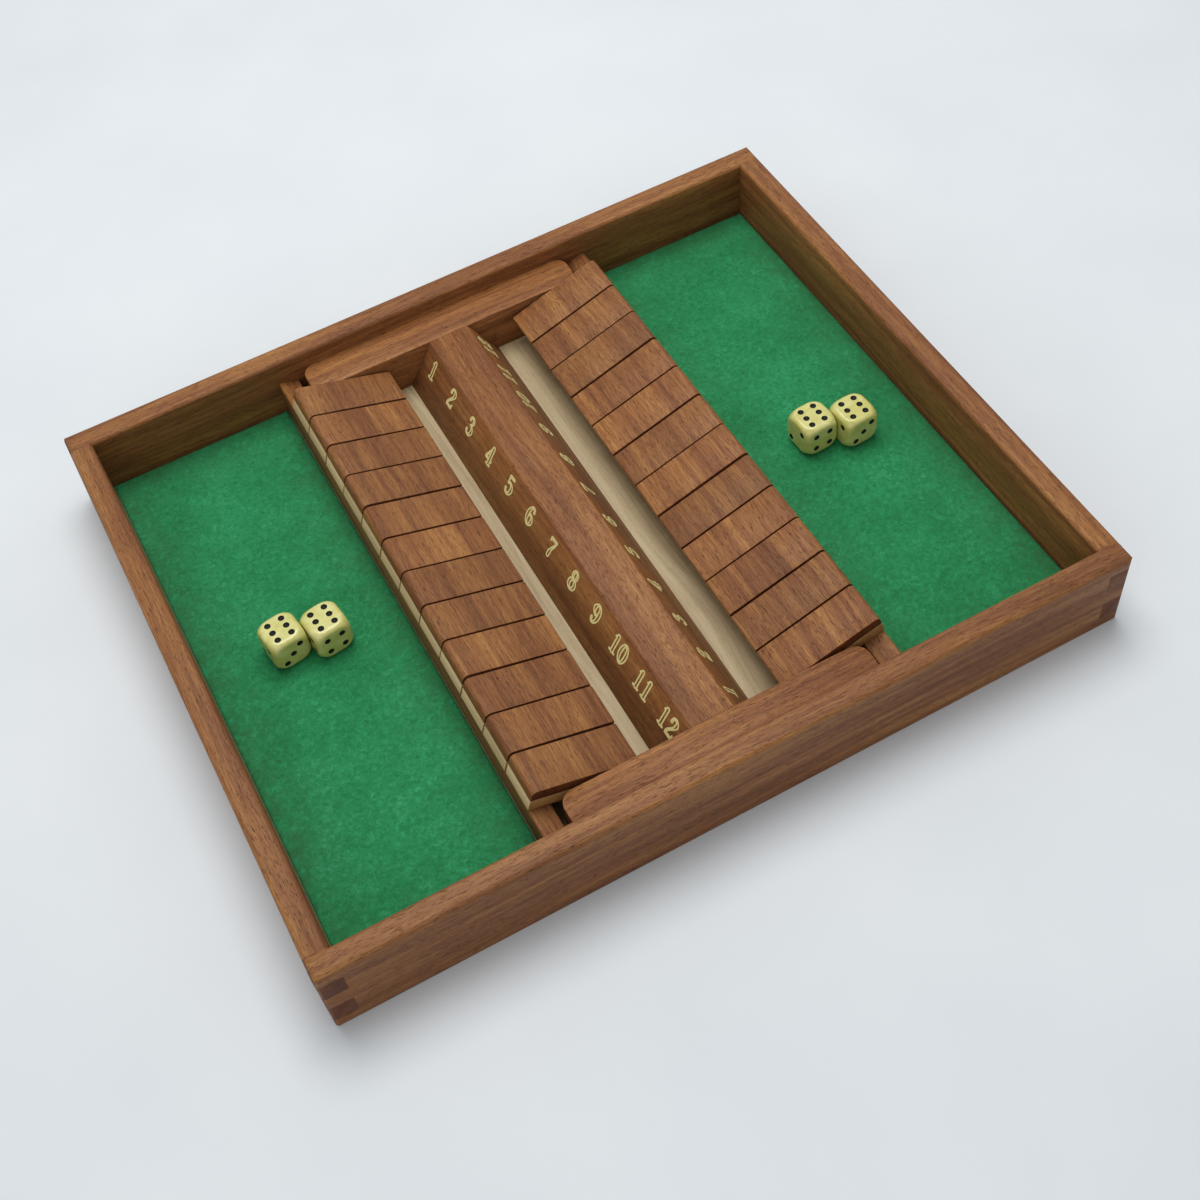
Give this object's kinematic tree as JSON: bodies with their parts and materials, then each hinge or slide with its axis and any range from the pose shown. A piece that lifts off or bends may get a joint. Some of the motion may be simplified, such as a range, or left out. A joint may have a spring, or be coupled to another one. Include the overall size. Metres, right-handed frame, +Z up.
{
  "type": "shut the box game",
  "caption": "Shallow wooden tray with a felt dice field at each end, a numbered ridge across the middle with a row of turning number tiles on both sides, and dice.",
  "frame": {"origin": "middle of the tray's underside, on the table", "axes": "+X from the left field to the right field, along the tray's length; +Y along the ridge, from the front wall to the back wall; +Z up"},
  "size_m": [0.34, 0.284, 0.04],
  "materials": {
    "dark_wood": "satin red-brown hardwood",
    "tile_wood": "satin, a red-brown ply over a pale ply",
    "plywood": "pale plywood, matt",
    "felt": "green felt",
    "rod": "bright drawn wire",
    "dice": "ivory yellow with black pips"
  },
  "bodies": {
    "tray": {"base_board": "plywood", "left_felt": "felt", "right_felt": "felt", "front_wall": "dark_wood", "back_wall": "dark_wood", "left_wall": "dark_wood", "right_wall": "dark_wood", "number_ridge": "dark_wood", "front_end_block": "dark_wood", "back_end_block": "dark_wood", "left_rail": "dark_wood", "right_rail": "dark_wood", "left_rod": "rod", "right_rod": "rod"},
    "left_tile_1": {"left_tile_1": "tile_wood"},
    "left_tile_2": {"left_tile_2": "tile_wood"},
    "left_tile_3": {"left_tile_3": "tile_wood"},
    "left_tile_4": {"left_tile_4": "tile_wood"},
    "left_tile_5": {"left_tile_5": "tile_wood"},
    "left_tile_6": {"left_tile_6": "tile_wood"},
    "left_tile_7": {"left_tile_7": "tile_wood"},
    "left_tile_8": {"left_tile_8": "tile_wood"},
    "left_tile_9": {"left_tile_9": "tile_wood"},
    "left_tile_10": {"left_tile_10": "tile_wood"},
    "left_tile_11": {"left_tile_11": "tile_wood"},
    "left_tile_12": {"left_tile_12": "tile_wood"},
    "right_tile_1": {"right_tile_1": "tile_wood"},
    "right_tile_2": {"right_tile_2": "tile_wood"},
    "right_tile_3": {"right_tile_3": "tile_wood"},
    "right_tile_4": {"right_tile_4": "tile_wood"},
    "right_tile_5": {"right_tile_5": "tile_wood"},
    "right_tile_6": {"right_tile_6": "tile_wood"},
    "right_tile_7": {"right_tile_7": "tile_wood"},
    "right_tile_8": {"right_tile_8": "tile_wood"},
    "right_tile_9": {"right_tile_9": "tile_wood"},
    "right_tile_10": {"right_tile_10": "tile_wood"},
    "right_tile_11": {"right_tile_11": "tile_wood"},
    "right_tile_12": {"right_tile_12": "tile_wood"},
    "left_die_1": {"left_die_1": "dice"},
    "left_die_2": {"left_die_2": "dice"},
    "right_die_1": {"right_die_1": "dice"},
    "right_die_2": {"right_die_2": "dice"}
  },
  "joints": [
    {"name": "left_tile_1_turn", "type": "hinge", "parent": "tray", "child": "left_tile_1", "pos_m": [-0.04075, 0.10569, 0.02298], "axis": [0, 1, 0], "range_deg": [0, 137.41]},
    {"name": "left_tile_2_turn", "type": "hinge", "parent": "tray", "child": "left_tile_2", "pos_m": [-0.04075, 0.08647, 0.02298], "axis": [0, 1, 0], "range_deg": [0, 137.41]},
    {"name": "left_tile_3_turn", "type": "hinge", "parent": "tray", "child": "left_tile_3", "pos_m": [-0.04075, 0.06726, 0.02298], "axis": [0, 1, 0], "range_deg": [0, 137.41]},
    {"name": "left_tile_4_turn", "type": "hinge", "parent": "tray", "child": "left_tile_4", "pos_m": [-0.04075, 0.04804, 0.02298], "axis": [0, 1, 0], "range_deg": [0, 137.41]},
    {"name": "left_tile_5_turn", "type": "hinge", "parent": "tray", "child": "left_tile_5", "pos_m": [-0.04075, 0.02882, 0.02298], "axis": [0, 1, 0], "range_deg": [0, 137.41]},
    {"name": "left_tile_6_turn", "type": "hinge", "parent": "tray", "child": "left_tile_6", "pos_m": [-0.04075, 0.00961, 0.02298], "axis": [0, 1, 0], "range_deg": [0, 137.41]},
    {"name": "left_tile_7_turn", "type": "hinge", "parent": "tray", "child": "left_tile_7", "pos_m": [-0.04075, -0.00961, 0.02298], "axis": [0, 1, 0], "range_deg": [0, 137.41]},
    {"name": "left_tile_8_turn", "type": "hinge", "parent": "tray", "child": "left_tile_8", "pos_m": [-0.04075, -0.02882, 0.02298], "axis": [0, 1, 0], "range_deg": [0, 137.41]},
    {"name": "left_tile_9_turn", "type": "hinge", "parent": "tray", "child": "left_tile_9", "pos_m": [-0.04075, -0.04804, 0.02298], "axis": [0, 1, 0], "range_deg": [0, 137.41]},
    {"name": "left_tile_10_turn", "type": "hinge", "parent": "tray", "child": "left_tile_10", "pos_m": [-0.04075, -0.06726, 0.02298], "axis": [0, 1, 0], "range_deg": [0, 137.41]},
    {"name": "left_tile_11_turn", "type": "hinge", "parent": "tray", "child": "left_tile_11", "pos_m": [-0.04075, -0.08647, 0.02298], "axis": [0, 1, 0], "range_deg": [0, 137.41]},
    {"name": "left_tile_12_turn", "type": "hinge", "parent": "tray", "child": "left_tile_12", "pos_m": [-0.04075, -0.10569, 0.02298], "axis": [0, 1, 0], "range_deg": [0, 137.41]},
    {"name": "right_tile_1_turn", "type": "hinge", "parent": "tray", "child": "right_tile_1", "pos_m": [0.04075, -0.10569, 0.02298], "axis": [0, -1, 0], "range_deg": [0, 137.41]},
    {"name": "right_tile_2_turn", "type": "hinge", "parent": "tray", "child": "right_tile_2", "pos_m": [0.04075, -0.08647, 0.02298], "axis": [0, -1, 0], "range_deg": [0, 137.41]},
    {"name": "right_tile_3_turn", "type": "hinge", "parent": "tray", "child": "right_tile_3", "pos_m": [0.04075, -0.06726, 0.02298], "axis": [0, -1, 0], "range_deg": [0, 137.41]},
    {"name": "right_tile_4_turn", "type": "hinge", "parent": "tray", "child": "right_tile_4", "pos_m": [0.04075, -0.04804, 0.02298], "axis": [0, -1, 0], "range_deg": [0, 137.41]},
    {"name": "right_tile_5_turn", "type": "hinge", "parent": "tray", "child": "right_tile_5", "pos_m": [0.04075, -0.02882, 0.02298], "axis": [0, -1, 0], "range_deg": [0, 137.41]},
    {"name": "right_tile_6_turn", "type": "hinge", "parent": "tray", "child": "right_tile_6", "pos_m": [0.04075, -0.00961, 0.02298], "axis": [0, -1, 0], "range_deg": [0, 137.41]},
    {"name": "right_tile_7_turn", "type": "hinge", "parent": "tray", "child": "right_tile_7", "pos_m": [0.04075, 0.00961, 0.02298], "axis": [0, -1, 0], "range_deg": [0, 137.41]},
    {"name": "right_tile_8_turn", "type": "hinge", "parent": "tray", "child": "right_tile_8", "pos_m": [0.04075, 0.02882, 0.02298], "axis": [0, -1, 0], "range_deg": [0, 137.41]},
    {"name": "right_tile_9_turn", "type": "hinge", "parent": "tray", "child": "right_tile_9", "pos_m": [0.04075, 0.04804, 0.02298], "axis": [0, -1, 0], "range_deg": [0, 137.41]},
    {"name": "right_tile_10_turn", "type": "hinge", "parent": "tray", "child": "right_tile_10", "pos_m": [0.04075, 0.06726, 0.02298], "axis": [0, -1, 0], "range_deg": [0, 137.41]},
    {"name": "right_tile_11_turn", "type": "hinge", "parent": "tray", "child": "right_tile_11", "pos_m": [0.04075, 0.08647, 0.02298], "axis": [0, -1, 0], "range_deg": [0, 137.41]},
    {"name": "right_tile_12_turn", "type": "hinge", "parent": "tray", "child": "right_tile_12", "pos_m": [0.04075, 0.10569, 0.02298], "axis": [0, -1, 0], "range_deg": [0, 137.41]},
    {"name": "left_die_1_lift", "type": "slide", "parent": "tray", "child": "left_die_1", "axis": [0, 0, 1], "range_m": [0, 0.06]},
    {"name": "left_die_2_lift", "type": "slide", "parent": "tray", "child": "left_die_2", "axis": [0, 0, 1], "range_m": [0, 0.06]},
    {"name": "right_die_1_lift", "type": "slide", "parent": "tray", "child": "right_die_1", "axis": [0, 0, 1], "range_m": [0, 0.06]},
    {"name": "right_die_2_lift", "type": "slide", "parent": "tray", "child": "right_die_2", "axis": [0, 0, 1], "range_m": [0, 0.06]}
  ]
}
